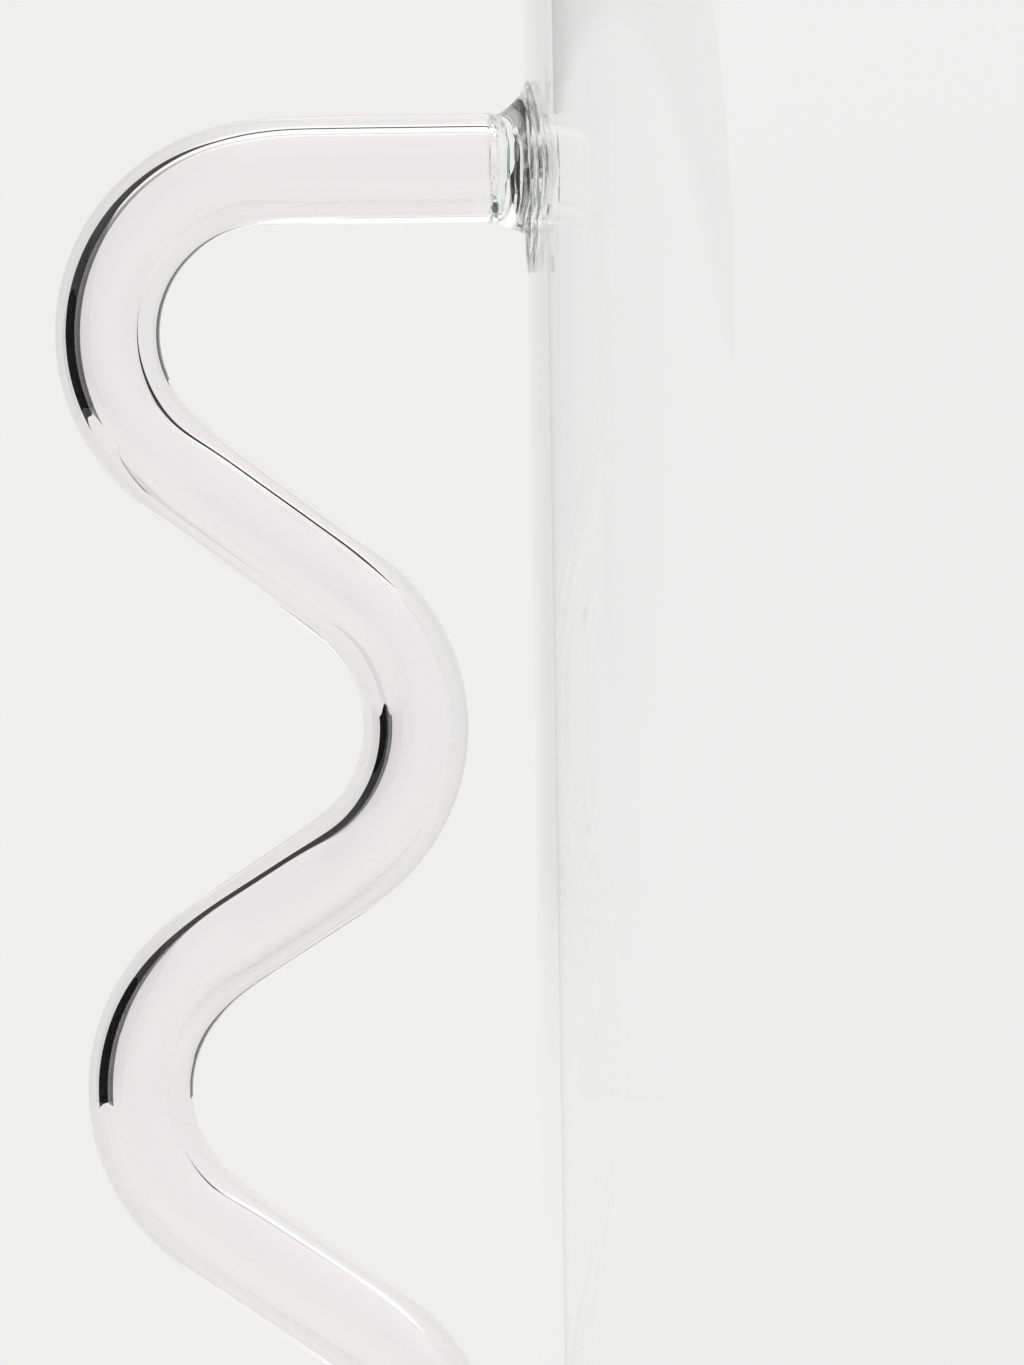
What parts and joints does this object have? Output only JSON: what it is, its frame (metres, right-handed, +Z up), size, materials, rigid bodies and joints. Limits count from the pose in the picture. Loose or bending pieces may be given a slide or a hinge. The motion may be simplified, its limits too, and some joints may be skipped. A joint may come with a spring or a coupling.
{
  "type": "glass jug with serpentine handle",
  "caption": "Tall clear glass jug: straight cylindrical body, pulled pouring lip, and a hollow serpentine tube handle welded on at its two ends.",
  "frame": {"origin": "centre of the base, on the surface that the jug stands on", "axes": "+Z up along the body's axis; the handle lies in the XZ plane on the -X side and the pouring lip points to +X"},
  "size_m": [0.1617, 0.1, 0.25],
  "materials": {
    "body_glass": "clear colourless borosilicate, fire-polished",
    "handle_glass": "clear borosilicate tube with a faint warm cast, bent in the flame",
    "weld_glass": "clear glass melted in the flame, with soft ripples"
  },
  "bodies": {
    "root": {"body": "body_glass", "handle_tube": "handle_glass", "upper_weld_collar": "weld_glass", "lower_weld_collar": "weld_glass", "upper_end_seal": "weld_glass", "lower_end_seal": "weld_glass"}
  },
  "joints": []
}
